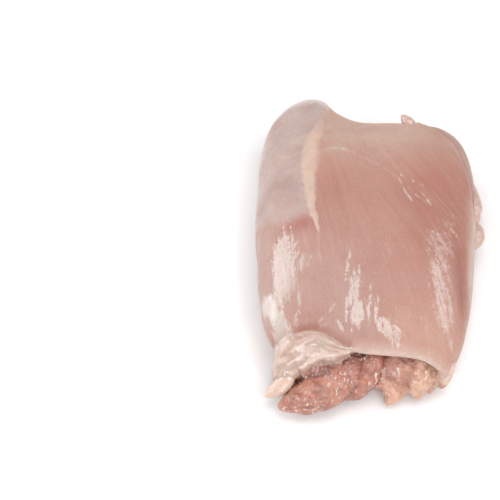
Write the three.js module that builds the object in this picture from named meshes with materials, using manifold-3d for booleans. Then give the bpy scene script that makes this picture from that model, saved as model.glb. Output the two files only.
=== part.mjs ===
// A raw chicken thigh, boned and skinned: one fillet, folded over on itself with its smooth side out.
// The smooth side is a sheet of meat, the cap, that goes down to the table at the left and the right and is
// open at its ends. Loose folds of meat show under its lip at the front, where a flap of fat hangs at the
// left with one narrow finger. Millimetres, +Z up, the open front end towards -Y, the origin on the table.
import * as THREE from "three";
import Module from "manifold-3d";

const wasm = await Module();
wasm.setup();

// ---- driving dimensions ----
const WAIST = 10; // height at which a cross-section is widest
const SAG = 0.9; // how much of its belly the table presses flat
const ROUND_TOP = 2.5; // squareness of a cross-section above and below the waist: 2 is an ellipse
const ROUND_BELLY = 3.2;
const MIDDLE = [-0.3, -5.86]; // the middle of the whole outline, which becomes the origin

// Edges and crown of the cap along its length, as [Y, value]
const LEFT_EDGE = [
  [-58, -20], [-47, -30.5], [-42.5, -32.6], [-33, -35.6], [-18, -38], [2, -38],
  [22, -37.3], [35, -35.6], [44, -32.6], [50, -29], [56, -25],
];
const RIGHT_EDGE = [
  [-58, 18.5], [-50.4, 22.8], [-40.6, 27.2], [-33, 29.3], [-18, 31.8], [-8, 33.2],
  [15, 35.2], [22, 35.4], [28, 34.9], [34, 33.5], [39, 31], [44, 26.5], [56, 16],
];
const CROWN = [
  [-58, 12.5], [-50, 17], [-44, 20], [-34, 23], [-20, 25.6], [0, 27], [20, 26.4], [36, 23.6], [44, 21],
  [56, 15],
];

// Where the cap ends at the front and the back, as [degrees round a section, Y]: 0 right, 90 top, 180 left
const FRONT_EDGE = [
  [0, -54], [20, -54], [38, -52.8], [47, -52], [60, -50.9], [88, -50], [97, -49.3], [103, -47.8],
  [110, -45.4], [118, -43.6], [126, -43], [150, -43.8], [165, -44.6], [180, -44.5], [205, -42],
  [225, -41], [270, -43], [315, -49.5], [360, -54],
];
const BACK_EDGE = [
  [0, 35], [30, 38.8], [45, 39.8], [55, 39.4], [72, 37.6], [84, 38], [93, 39.6], [101, 43],
  [109, 49], [118, 52], [130, 52.8], [142, 51.2], [160, 46.5], [180, 41.5], [205, 36], [225, 33],
  [270, 32], [315, 32], [340, 33], [360, 35],
];

// The sheet's wall, as [distance in from the edge, thickness]
const WALL = [[-0.1, 0.5], [1.2, 1.7], [5, 3.3], [13, 7]];
const LIP = 1.2; // length of the lip in front of the cap
const WALL_TURN = 6; // depth by which the wall behind the flap has gone up the flap's whole length

// The flap's hanging edge, from the left round to its right end, and the degrees that it spans
const FLAP_START = 181;
const FLAP_END = 96;
const FLAP_FADE_LEFT = 0.05; // share of its width over which it grows at the left
const FLAP_FADE_RIGHT = 0.07;
const FLAP_BELLY = 0.2; // how far it bulges, as a share of its length
const FLAP_OUT = new THREE.Vector3(0, -0.75, 0.65); // which way it bulges
const FLAP_LONGEST = 8; // length past which it bulges no further
const FLAP_EDGE = [
  [-33.2, -50.5, 8], [-31, -52.9, 9.3], [-28, -53.5, 9.5], [-24.5, -52.2, 10.4], [-17.8, -50.9, 11.3],
  [-11.9, -50.2, 12.7], [-9.2, -49.6, 15], [-8.4, -49.6, 16.6],
];

// The edge of the layer that lies over another one at the back right, and the step down behind it
const OVERLAP = [[19.5, 37.6], [22.7, 36], [27.3, 29.6], [29, 25.9], [32.4, 14.8], [33.9, -2]];
const OVERLAP_STEP = 1.4;
const OVERLAP_SLOPE = 1.2; // how far the step reaches to either side of the edge

// Soft bulges and hollows of the cap, as [X, Y, length across, length along, turn in degrees, height]
const SWELLS = [
  [-31.2, -37.5, 5, 7.5, 15, 2.1],
  [-21.5, -39.4, 5.5, 3.2, 10, -2.2],
  [-21.5, -43.6, 8, 2.2, 3, 0.8],
  [-20, 46, 10, 8, 0, 1.4],
  [-5, 38, 8, 6, 0, -0.8],
  [13, 10, 6, 9, -30, -0.7],
  [21, 22, 9, 9, 0, 0.7],
];
const UNEVEN = [[34, 0.32, 0.4], [15, 0.14, 1.3]]; // [wavelength, height, start]
const GOLDEN_ANGLE = Math.PI * (3 - Math.sqrt(5));
const WAVES_SUMMED = 7;
const UPPER_SIDE = [8, 14]; // heights between which the swells and the step fade in
const OVERLAP_ENDS = [-4, 12]; // Y between which the step fades in

// Folds of meat under the lip and at the back, the flap's finger and the nubs of meat on the outline:
// each is a rounded body along points [X, Y, Z, half width, half height]
const FRONT_FOLDS = [
  [
    [-31, -61.4, 4, 4.3, 4], [-26, -60.2, 5.4, 5.6, 5.2], [-19.5, -57.6, 6.2, 6.6, 6],
    [-12, -53, 6.8, 6.8, 6.4], [-6, -46, 7.5, 7, 7], [-2, -34, 8, 8, 7],
  ],
  [
    [-25.5, -50, 6.6, 4, 4.6], [-22, -51.6, 8, 4.2, 4.4], [-17.2, -52.8, 9.2, 4.2, 3.6],
    [-12.8, -49.5, 9.2, 4, 3.4], [-9, -40, 9, 4, 3],
  ],
  [[-29, -44, 8, 4.5, 5], [-28.5, -51, 5.8, 4.6, 4.8], [-28, -56, 3.8, 3.6, 3.6]],
  [[-26.5, -61, 5, 2.6, 2.6], [-22, -60.4, 6, 3.4, 3], [-17, -59, 5.4, 2.8, 2.6]],
  [
    [1, -34, 12, 3.8, 4], [-1.6, -47.5, 11.6, 4.1, 4.4], [-3, -51.2, 9.4, 4, 4.8],
    [-5.6, -54.3, 6.6, 3.9, 4.6], [-10.6, -56.9, 4.4, 3.4, 3.8], [-16.5, -59.8, 3.2, 2.8, 2.8],
  ],
  [
    [6, -34, 10.5, 6, 4], [6.4, -48.5, 10.2, 6.4, 4.2], [6.2, -52, 8.6, 6.2, 4.2],
    [6.6, -55, 6.6, 4.6, 3],
  ],
  [
    [4.6, -34, 5, 7, 4.8], [4, -51.5, 4.8, 7, 4.6], [4.2, -55.6, 3.8, 5.8, 3.8],
    [2.2, -59.6, 1.6, 1.4, 1.6],
  ],
  [
    [12.4, -34, 7.5, 5.4, 6], [12.2, -49.8, 7.6, 5.4, 6], [12.2, -54.4, 5.6, 5.2, 5.4],
    [11.6, -58, 2.8, 3.6, 2.8],
  ],
  [[16.6, -34, 6, 2.6, 5.4], [16.4, -51.6, 5.6, 2.8, 5.2], [15.8, -56.4, 3.2, 2.4, 3.1]],
  [[20.4, -34, 6.4, 3.4, 5.8], [20.5, -51, 6.4, 3.2, 6], [19.4, -55, 3.8, 2.8, 3.8]],
];
const BACK_FOLDS = [
  [[-23, 20, 10, 9, 8], [-24, 36, 10, 10, 9.6], [-22, 50, 9, 8.5, 8]],
  [[-9, 20, 9, 10, 8], [-10, 32, 9.4, 10.5, 9.4], [-12, 45.5, 10, 8.5, 7.5]],
  [[4, 20, 6, 14, 6.4], [4, 30, 6.2, 15, 6.6], [2, 43.5, 5.6, 12, 5.4]],
  [[8, 20, 14, 13, 6], [8, 30, 14.5, 12.5, 5.8], [8, 39.5, 13.6, 11, 5.4]],
  [[24, 18, 9.5, 8, 8], [24, 28, 10, 9.5, 9.4], [22.5, 40.5, 9.4, 8, 8]],
];
const FINGER = [
  [-35.4, -58.6, 5.6, 1.9, 1.6], [-33.3, -57.7, 6.5, 2.4, 2], [-30.6, -56.4, 7.9, 2.7, 2.1],
  [-28.6, -54.6, 9.4, 2.6, 2], [-28.4, -50.5, 11.4, 2.4, 1.9],
];
const FOLD_BLUNTNESS = 2.4; // 2 rounds a fold's ends like an ellipse's
const NUBS = [
  [[33.2, 3.5, 8.6, 1.2, 1], [35.4, 12.5, 10, 1.8, 1.7], [34, 23, 10.6, 1, 0.9]],
  [[33.6, -4, 9.2, 1.3, 1.2], [35.2, 0.4, 10, 1.9, 2], [34.6, 6, 10, 1.2, 1.2]],
  [[10.9, 42.1, 21.4, 1, 1.1], [12.4, 40.3, 21.2, 1.8, 1.7], [15, 36, 19.5, 2.4, 2.2]],
  [[-32.2, -46, 9.5, 1, 2], [-31.7, -50.5, 7.6, 1.5, 2.5], [-29.6, -54.6, 5, 1.5, 2]],
];

// How finely the curved surfaces are cut into faces
const COLUMNS = 54;
const ROWS = 27;
const ANGLE_STEPS = 2000; // how finely a section is measured to space the columns
const ROW_GROWTH = 1.3; // how much wider the steps between rows grow towards the back
const FLAP_ROWS = 4;
const FOLD_RINGS = 11;
const FOLD_SIDES = 11;
const NUB_RINGS = 7;
const NUB_SIDES = 8;

// ---- curves ----

// A smooth curve through [place, value] pairs that doesn't overshoot them.
function through(pairs) {
  const steps = pairs.slice(1).map((p, i) => (p[1] - pairs[i][1]) / (p[0] - pairs[i][0]));
  const slopes = pairs.map((_, i) => {
    const before = steps[Math.max(i - 1, 0)];
    const after = steps[Math.min(i, steps.length - 1)];
    return before * after > 0 ? (2 * before * after) / (before + after) : 0;
  });
  return (place) => {
    let i = 0;
    while (i < pairs.length - 2 && place > pairs[i + 1][0]) i += 1;
    const [from, to] = [pairs[i], pairs[i + 1]];
    const span = to[0] - from[0];
    const u = THREE.MathUtils.clamp((place - from[0]) / span, 0, 1);
    const keep = (1 + 2 * u) * (1 - u) ** 2;
    return (
      from[1] * keep + to[1] * (1 - keep) + span * u * (1 - u) * (slopes[i] * (1 - u) - slopes[i + 1] * u)
    );
  };
}

const leftAt = through(LEFT_EDGE);
const rightAt = through(RIGHT_EDGE);
const crownAt = through(CROWN);
const frontAt = through(FRONT_EDGE);
const backAt = through(BACK_EDGE);
const turned = (degrees) => (degrees + 360) % 360;

// A curve through points of any number of values, as a function of the share of its length.
function curveThrough(points) {
  const spline = new THREE.CatmullRomCurve3(points.map((p) => new THREE.Vector3(...p)), false, "centripetal");
  return (share) => spline.getPoint(THREE.MathUtils.clamp(share, 0, 1));
}

// ---- the cap ----

// The cap's outer surface at an angle round the section at Y.
function sectionPoint(degrees, y) {
  const angle = THREE.MathUtils.degToRad(degrees);
  const above = Math.sin(angle) > 0;
  const power = 2 / (above ? ROUND_TOP : ROUND_BELLY);
  const across = Math.sign(Math.cos(angle)) * Math.abs(Math.cos(angle)) ** power;
  const rise = Math.abs(Math.sin(angle)) ** power;
  const [left, right] = [leftAt(y), rightAt(y)];
  const z = above ? WAIST + (crownAt(y) - WAIST) * rise : WAIST - (WAIST + SAG) * rise;
  return new THREE.Vector3((left + right) / 2 + ((right - left) / 2) * across, y, z);
}

// Angles that part the middle section into steps of one length, from under the fillet round to there again.
function evenAngles(count) {
  const fine = Array.from({ length: ANGLE_STEPS + 1 }, (_, i) => -90 + (i * 360) / ANGLE_STEPS);
  const points = fine.map((degrees) => sectionPoint(degrees, 0));
  const run = [0];
  for (let i = 1; i < points.length; i += 1) run.push(run[i - 1] + points[i].distanceTo(points[i - 1]));
  return Array.from({ length: count }, (_, k) => {
    const goal = (run[run.length - 1] * k) / count;
    const i = run.findIndex((length) => length >= goal);
    return fine[i];
  });
}

// Distance from (x, y) to a drawn line, the side of it, and the share of the line there.
function nearLine(x, y, line) {
  const last = line.length - 1;
  let found = { far: Infinity };
  for (let i = 0; i < last; i += 1) {
    const [a, b] = [line[i], line[i + 1]];
    const [dx, dy] = [b[0] - a[0], b[1] - a[1]];
    const t = THREE.MathUtils.clamp(((x - a[0]) * dx + (y - a[1]) * dy) / (dx * dx + dy * dy), 0, 1);
    const far = Math.hypot(x - a[0] - t * dx, y - a[1] - t * dy);
    if (far < found.far) {
      const side = Math.sign(dx * (y - a[1]) - dy * (x - a[0]));
      found = { far, side, share: (i + t) / last };
    }
  }
  return found;
}

// Soft unevenness from about -1 to 1: waves of one length in directions a golden angle apart.
function waves(p, wavelength, start) {
  let total = 0;
  for (let k = 0; k < WAVES_SUMMED; k += 1) {
    const up = 1 - (2 * (k + 0.5)) / WAVES_SUMMED;
    const flat = Math.sqrt(1 - up * up);
    const angle = GOLDEN_ANGLE * k + start;
    const along = p.x * flat * Math.cos(angle) + p.y * flat * Math.sin(angle) + p.z * up;
    total += Math.sin((along * 2 * Math.PI) / wavelength + k * k + start);
  }
  return total / Math.sqrt(WAVES_SUMMED);
}

// How far the cap's surface stands out at a point, along its normal.
function relief(p) {
  const upper = THREE.MathUtils.smoothstep(p.z, ...UPPER_SIDE);
  let out = 0;
  for (const [wavelength, height, start] of UNEVEN) out += height * waves(p, wavelength, start);
  for (const [x, y, across, along, turn, height] of SWELLS) {
    const angle = THREE.MathUtils.degToRad(turn);
    const [dx, dy] = [p.x - x, p.y - y];
    const u = (dx * Math.cos(angle) + dy * Math.sin(angle)) / across;
    const v = (dy * Math.cos(angle) - dx * Math.sin(angle)) / along;
    out += upper * height * Math.exp(-u * u - v * v);
  }
  const edge = nearLine(p.x, p.y, OVERLAP);
  const beyond = THREE.MathUtils.smoothstep(edge.side * edge.far, -OVERLAP_SLOPE, OVERLAP_SLOPE);
  const along = THREE.MathUtils.smoothstep(p.y, ...OVERLAP_ENDS);
  return out - upper * OVERLAP_STEP * (1 - edge.share / 2) * beyond * along;
}

// The rows of the cap's outer surface, from the flap's hanging edge to the back edge.
function capSheet() {
  const flapEdge = curveThrough(FLAP_EDGE);
  const columns = evenAngles(COLUMNS).map((degrees) => {
    const turn = turned(degrees);
    const share = (turn - FLAP_START) / (FLAP_END - FLAP_START);
    const grown = THREE.MathUtils.smoothstep(share, 0, FLAP_FADE_LEFT);
    const fade = grown * THREE.MathUtils.smoothstep(1 - share, 0, FLAP_FADE_RIGHT);
    const edge = frontAt(turn);
    const start = edge + LIP * (1 - fade);
    const body = Array.from({ length: ROWS }, (_, i) =>
      sectionPoint(degrees, start + (backAt(turn) - start) * (i / (ROWS - 1)) ** ROW_GROWTH),
    );
    const lip = sectionPoint(degrees, edge);
    const low = lip.clone().lerp(flapEdge(share), fade);
    const length = Math.min(low.distanceTo(body[0]), FLAP_LONGEST);
    const flap = Array.from({ length: FLAP_ROWS }, (_, i) => {
      const down = 1 - i / FLAP_ROWS;
      const bulge = Math.sin(Math.PI * down) * length * FLAP_BELLY * fade;
      return body[0].clone().lerp(low, down).addScaledVector(FLAP_OUT, bulge);
    });
    return [...flap, ...body];
  });
  return columns[0].map((_, row) => columns.map((column) => column[row]));
}

// Outward normals of rings that run the way the section's angle grows.
function ringNormals(rings) {
  return rings.map((ring, i) =>
    ring.map((_, j) => {
      const ahead = rings[Math.min(i + 1, rings.length - 1)][j];
      const behind = rings[Math.max(i - 1, 0)][j];
      const next = ring[(j + 1) % ring.length];
      const previous = ring[(j + ring.length - 1) % ring.length];
      return ahead.clone().sub(behind).cross(next.clone().sub(previous)).normalize();
    }),
  );
}

// Rings of the wall inside an open end, from the edge inwards; rows run from that edge.
function wallRings(rows, normals, hangingRows) {
  const columns = rows[0].map((_, j) => rows.map((row) => row[j]));
  const made = WALL.map(([depth, thickness]) =>
    columns.map((column, j) => {
      const run = [0];
      for (let i = 1; i < column.length; i += 1) run.push(run[i - 1] + column[i].distanceTo(column[i - 1]));
      // Where the sheet hangs as a flap, the wall goes the flap's length before it goes in.
      const place = depth + run[hangingRows] * THREE.MathUtils.clamp(depth / WALL_TURN, 0, 1);
      let i = 0;
      while (i < run.length - 2 && run[i + 1] < place) i += 1;
      const t = (place - run[i]) / (run[i + 1] - run[i]);
      const point = column[i].clone().lerp(column[i + 1], t);
      const normal = normals[i][j].clone().lerp(normals[i + 1][j], THREE.MathUtils.clamp(t, 0, 1));
      return point.addScaledVector(normal.normalize(), -thickness);
    }),
  );
  const last = made[made.length - 1];
  const centre = new THREE.Vector3();
  last.forEach((point) => centre.addScaledVector(point, 1 / last.length));
  made.push(last.map((point) => point.clone().lerp(centre, 0.5)));
  return made;
}

function makeCap() {
  const sheet = capSheet();
  const normals = ringNormals(sheet);
  const edgeRelief = sheet[FLAP_ROWS].map(relief);
  const outer = sheet.map((row, i) =>
    row.map((point, j) => {
      const lift = i < FLAP_ROWS ? edgeRelief[j] : relief(point);
      return point.clone().addScaledVector(normals[i][j], lift);
    }),
  );
  const front = wallRings(outer, normals, FLAP_ROWS);
  const back = wallRings([...outer].reverse(), [...normals].reverse(), 0);
  return solidFromRings([...front.reverse(), ...outer, ...back]);
}

// ---- folds, finger and nubs ----

// A rounded body along points [x, y, z, half width, half height].
function makeFold(points, rings, sides) {
  const centreAt = curveThrough(points.map((p) => p.slice(0, 3)));
  const sizeAt = curveThrough(points.map((p) => [p[3], p[4], 0]));
  const up = new THREE.Vector3(0, 0, 1);
  const made = Array.from({ length: rings }, (_, i) => {
    const share = (1 - Math.cos(Math.PI * (i + 0.4) / (rings - 0.2))) / 2;
    const blunt = Math.sqrt(1 - Math.abs(2 * share - 1) ** FOLD_BLUNTNESS);
    const centre = centreAt(share);
    const along = centreAt(share + 0.01).sub(centreAt(share - 0.01)).normalize();
    const across = along.clone().cross(up).normalize();
    const over = across.clone().cross(along);
    const size = sizeAt(share);
    return Array.from({ length: sides }, (_, k) => {
      const angle = (2 * Math.PI * k) / sides;
      return centre
        .clone()
        .addScaledVector(across, size.x * blunt * Math.cos(angle))
        .addScaledVector(over, size.y * blunt * Math.sin(angle));
    });
  });
  return solidFromRings(made);
}

// ---- solids ----

// A closed solid from rings of points, each end drawn together in a point, cut flat where it meets the table.
function solidFromRings(rings) {
  const sides = rings[0].length;
  const middle = (ring) => ring.reduce((sum, p) => sum.addScaledVector(p, 1 / sides), new THREE.Vector3());
  const points = [...rings.flat(), middle(rings[0]), middle(rings[rings.length - 1])];
  const firstTip = points.length - 2;
  const lastTip = points.length - 1;
  const lastRing = (rings.length - 1) * sides;
  const faces = [];
  for (let k = 0; k < sides; k += 1) {
    const next = (k + 1) % sides;
    for (let i = 0; i < rings.length - 1; i += 1) {
      const [a, b, c, d] = [i * sides + k, (i + 1) * sides + k, (i + 1) * sides + next, i * sides + next];
      const shorter = points[a].distanceTo(points[c]) < points[b].distanceTo(points[d]);
      faces.push(...(shorter ? [a, b, c, a, c, d] : [a, b, d, b, c, d]));
    }
    faces.push(firstTip, k, next);
    faces.push(lastTip, lastRing + next, lastRing + k);
  }
  const flattened = points.flatMap((p) => [p.x - MIDDLE[0], p.y - MIDDLE[1], Math.max(p.z, 0)]);
  return new wasm.Manifold(
    new wasm.Mesh({
      numProp: 3,
      vertProperties: new Float32Array(flattened),
      triVerts: new Uint32Array(faces),
    }),
  );
}

// Everything is grown together, and hollows that are sealed inside are left as solid meat.
function joined(solids) {
  const whole = solids.reduce((sum, solid) => sum.add(solid));
  const bodies = whole.decompose();
  return bodies.reduce((best, body) => (body.volume() > best.volume() ? body : best));
}

function geometryOf(solid) {
  const mesh = solid.getMesh();
  const geometry = new THREE.BufferGeometry();
  geometry.setAttribute("position", new THREE.BufferAttribute(mesh.vertProperties, 3));
  geometry.setIndex(new THREE.BufferAttribute(mesh.triVerts, 1));
  geometry.computeVertexNormals();
  return geometry;
}

const folds = [...FRONT_FOLDS, ...BACK_FOLDS].map((points) => makeFold(points, FOLD_RINGS, FOLD_SIDES));
const trimmings = [FINGER, ...NUBS].map((points) => makeFold(points, NUB_RINGS, NUB_SIDES));

const fillet = new THREE.Mesh(
  geometryOf(joined([makeCap(), ...folds, ...trimmings])),
  new THREE.MeshStandardMaterial({ color: "#c7968a", roughness: 0.35, metalness: 0 }),
);
fillet.name = "thigh_fillet";

const group = new THREE.Group();
group.add(fillet);
export default group;
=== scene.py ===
"""A raw chicken thigh fillet, boned, skinned and folded over on itself, on a pale studio floor.

Shapes are worked out in millimetres, with the open front end towards -Y, and turned into metres in the
frame's own place at the end. MIDDLE is the point of that drawing where the frame has its origin.
Fades are given as (where absent, where full), and roughness as layers of (height, size, start).
"""

import math

import bpy
import numpy as np
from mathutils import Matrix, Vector, noise


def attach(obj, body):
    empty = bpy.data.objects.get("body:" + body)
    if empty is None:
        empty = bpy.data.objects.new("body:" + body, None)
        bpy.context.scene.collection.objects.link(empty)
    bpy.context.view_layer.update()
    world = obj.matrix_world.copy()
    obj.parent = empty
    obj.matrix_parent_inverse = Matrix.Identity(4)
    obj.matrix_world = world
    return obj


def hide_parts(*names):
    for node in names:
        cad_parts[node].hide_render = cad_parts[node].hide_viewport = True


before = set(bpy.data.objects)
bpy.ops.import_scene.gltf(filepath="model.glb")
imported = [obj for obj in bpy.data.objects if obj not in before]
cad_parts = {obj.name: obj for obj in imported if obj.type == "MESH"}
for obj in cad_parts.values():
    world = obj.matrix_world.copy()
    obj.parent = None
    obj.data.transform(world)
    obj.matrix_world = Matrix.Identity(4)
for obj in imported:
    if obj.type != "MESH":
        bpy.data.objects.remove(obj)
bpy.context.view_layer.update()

# ---- driving dimensions, in millimetres ----
MM = 0.001
MIDDLE = np.array([-0.3, -5.86, 0.0])
WAIST = 10.0  # height at which a cross-section is widest
SAG = 0.9  # how much of its belly the table presses flat
ROUND_TOP = 2.5  # squareness of a cross-section above and below the waist: 2 is an ellipse
ROUND_BELLY = 3.2

# Edges and crown of the smooth side along its length, as (Y, value)
LEFT_EDGE = [
    (-58, -20), (-47, -30.5), (-42.5, -32.6), (-33, -35.6), (-18, -38), (2, -38), (22, -37.3), (35, -35.6),
    (44, -32.6), (50, -29), (56, -25),
]
RIGHT_EDGE = [
    (-58, 18.5), (-50.4, 22.8), (-40.6, 27.2), (-33, 29.3), (-18, 31.8), (-8, 33.2), (15, 35.2), (22, 35.4),
    (28, 34.9), (34, 33.5), (39, 31), (44, 26.5), (56, 16),
]
CROWN = [
    (-58, 12.5), (-50, 17), (-44, 20), (-34, 23), (-20, 25.6), (0, 27), (20, 26.4), (36, 23.6), (44, 21),
    (56, 15),
]

# Where the smooth side ends at the front and the back, as (degrees round a section, Y)
FRONT_EDGE = [
    (0, -54), (20, -54), (38, -52.8), (47, -52), (60, -50.9), (88, -50), (97, -49.3), (103, -47.8),
    (110, -45.4), (118, -43.6), (126, -43), (150, -43.8), (165, -44.6), (180, -44.5), (205, -42), (225, -41),
    (270, -43), (315, -49.5), (360, -54),
]
BACK_EDGE = [
    (0, 35), (30, 38.8), (45, 39.8), (55, 39.4), (72, 37.6), (84, 38), (93, 39.6), (101, 43), (109, 49),
    (118, 52), (130, 52.8), (142, 51.2), (160, 46.5), (180, 41.5), (205, 36), (225, 33), (270, 32), (315, 32),
    (340, 33), (360, 35),
]

# The rounded rim, then the sheet's wall as (distance in from the edge, thickness)
RIM_RADIUS = 0.55
RIM_STEPS = 6
WALL = [(1.2, 1.7), (3, 2.5), (5, 3.3), (9, 5), (13, 7)]
WALL_TURN = 6.0  # depth by which the wall behind the flap has gone up the flap's whole length
WALL_CLOSING = (0.3, 0.6, 0.9)  # shares of the way to its middle by which each last ring closes
LIP = 1.2

# The flap of fat: the degrees that it spans and its hanging edge, from the left round to its right end
FLAP_START = 181
FLAP_END = 96
FLAP_BELLY = 0.2
FLAP_OUT = np.array([0, -0.75, 0.65])
FLAP_LONGEST = 8.0
FLAP_WIDTH = 40.0
FLAP_EDGE = [
    (-33.2, -50.5, 8), (-31, -52.9, 9.3), (-28, -53.5, 9.5), (-24.5, -52.2, 10.4), (-17.8, -50.9, 11.3),
    (-11.9, -50.2, 12.7), (-9.2, -49.6, 15), (-8.4, -49.6, 16.6),
]
FLAP_TEARS = [(0.8, 2.6, 3.1), (0.5, 0.9, 7.3)]
FLAP_CREST = [(1.3, 0, 0.15), (-0.8, 0.16, 0.38), (0.5, 0.4, 0.6)]  # (rise, from, to) by share of its length
FLAP_FOLDS = 1.7
FLAP_FOLD_HEIGHT = 0.3
FLAP_LUMPS = [(0.8, 6, 2.7), (0.2, 3, 9.2)]
# Layers of the painted shine on the flap's fat
FLAP_SHINE = [(1, (4.2, 2.8, 2.8), 1.7), (0.5, 0.9, 6.3)]

# The seam of fat between the silverskin and the bare meat, as (X, Y, half width)
SEAM = [
    (-15.9, 38.5, 1.0), (-16.8, 36, 1.6), (-19, 29, 2.5), (-20.5, 19.9, 2.8), (-20.5, 6.9, 1.75),
    (-19.6, -3.4, 0.9), (-18.4, -9.6, 0.4),
]
SEAM_HEIGHT = 0.35
SEAM_SLOPE = (1.3, 0.4)  # how its height, its paint and its fat fade, in half widths
SEAM_PAINT = (1.35, 0.5)
SEAM_FATTY = (1.2, 0.6)

# Strands of pale sinew on the smooth side: points (X, Y), half width and paleness
SINEWS = [
    ([(-16.5, 23.2), (-13.5, 23.8), (-10.5, 23.7), (-7.5, 22.6)], 0.45, 1),
    ([(-8, 22.8), (-4.7, 20.8), (3.9, 15.1), (8.5, 11), (10.7, 4.1), (11.9, 2.2)], 0.3, 0.5),
    ([(-37, 19.5), (-30, 22), (-24, 24), (-19, 24.5)], 0.45, 0.5),
    ([(-36, 17.5), (-29, 20), (-23, 20.5)], 0.4, 0.4),
    ([(1.8, 25.5), (7.2, 16.5), (9.9, 12.4)], 0.25, 0.35),
    ([(9.9, 12.4), (11.5, 8), (13.5, 4.5), (15.5, 3.2), (17.7, 1.5)], 0.3, 0.4),
    ([(16.9, 3), (17.9, 1.4)], 0.45, 1),
    ([(10.5, 5.4), (11.9, 2.3)], 0.35, 0.9),
    ([(-18.4, -9.6), (-18.3, -15), (-17.8, -22.2)], 0.3, 0.7),
    ([(-18.6, -10), (-18.9, -15), (-18.7, -21)], 0.25, 0.5),
    ([(-18, -10.5), (-16.9, -16), (-15.8, -21)], 0.25, 0.4),
    ([(-3.7, 28.5), (6.5, 31.8), (11.7, 34.9), (20.2, 35.6)], 0.6, 0.42),
    ([(-15, 36), (-9, 35.2), (-2, 33.5)], 0.6, 0.42),
    ([(-12.5, 29.5), (-8, 33), (-1, 36.5), (6, 38)], 0.5, 0.4),
    ([(-9, 19.8), (-3.5, 16.5), (2.5, 11)], 0.25, 0.35),
    ([(19.5, 37.6), (22.7, 36), (27.3, 29.6), (29, 25.9), (32.4, 14.8)], 0.55, 1),
    ([(26.8, 30.6), (28.6, 27), (29.6, 24)], 0.9, 0.8),
    ([(-25, 9.5), (-22.8, 8), (-21, 8.6)], 0.5, 0.5),
    ([(22, -6), (25.5, -8.4), (27.5, -11.5)], 0.35, 0.5),
]
SINEW_HEIGHT = 0.12

# Short bright glints on the smooth side, as points (X, Y)
GLINTS = [
    [(9.6, 7.4), (10.5, 5.2)], [(11, 4.6), (11.9, 2.1)], [(16.7, 3), (17.9, 1.1)],
    [(14.9, 9.4), (16, 9)], [(8.2, 11.4), (8.9, 9.8)], [(-12.9, 24), (-10.8, 23.9), (-8.2, 23.3)],
    [(13.4, 5), (14.5, 3.8)], [(9, 12.7), (9.9, 12.3)], [(-15.4, -37.4), (-13.9, -35.4)],
    [(-18.9, -40.2), (-17.6, -38.8)], [(24.2, -7.2), (26, -9)], [(17.4, -9.4), (20.5, -10.2)],
    [(12.5, 11.1), (13, 10.6)], [(15.6, 5.6), (16.2, 4.4)],
]
GLINT_HALF_WIDTH = 0.2
# The painted white highlight on the wet ridge runs along this line, its edges ragged by the rough layers
# below
SHOULDER = [(-34.2, -32), (-31.6, -38), (-29.4, -43.5), (-28.6, -46.5)]  # the wet ridge at the front left
SHOULDER_RAGS = [(1.6, (1.3, 2.08, 1.3), 3.7), (1.2, 3, 8.3)]

# The edge of the layer that lies over another one at the back right
OVERLAP = [(19.5, 37.6), (22.7, 36), (27.3, 29.6), (29, 25.9), (32.4, 14.8), (33.9, -2)]
OVERLAP_STEP = 1.4
OVERLAP_SLOPE = 0.4
OVERLAP_ENDS = (-4, 12)

# Soft bulges and hollows, as (X, Y, length across, length along, turn in degrees, height)
SWELLS = [
    (-31.2, -37.5, 5, 7.5, 15, 2.1),
    (-21.5, -39.4, 5.5, 3.2, 10, -2.2),
    (-21.5, -43.6, 8, 2.2, 3, 0.8),
    (-20, 46, 10, 8, 0, 1.4),
    (-5, 38, 8, 6, 0, -0.8),
    (13, 10, 6, 9, -30, -0.7),
    (21, 22, 9, 9, 0, 0.7),
]
UNEVEN = [(34, 0.32, 0.4), (15, 0.14, 1.3)]  # (wavelength, height, start)
UPPER_SIDE = (8, 14)  # heights between which the swells and the step fade in

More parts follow.
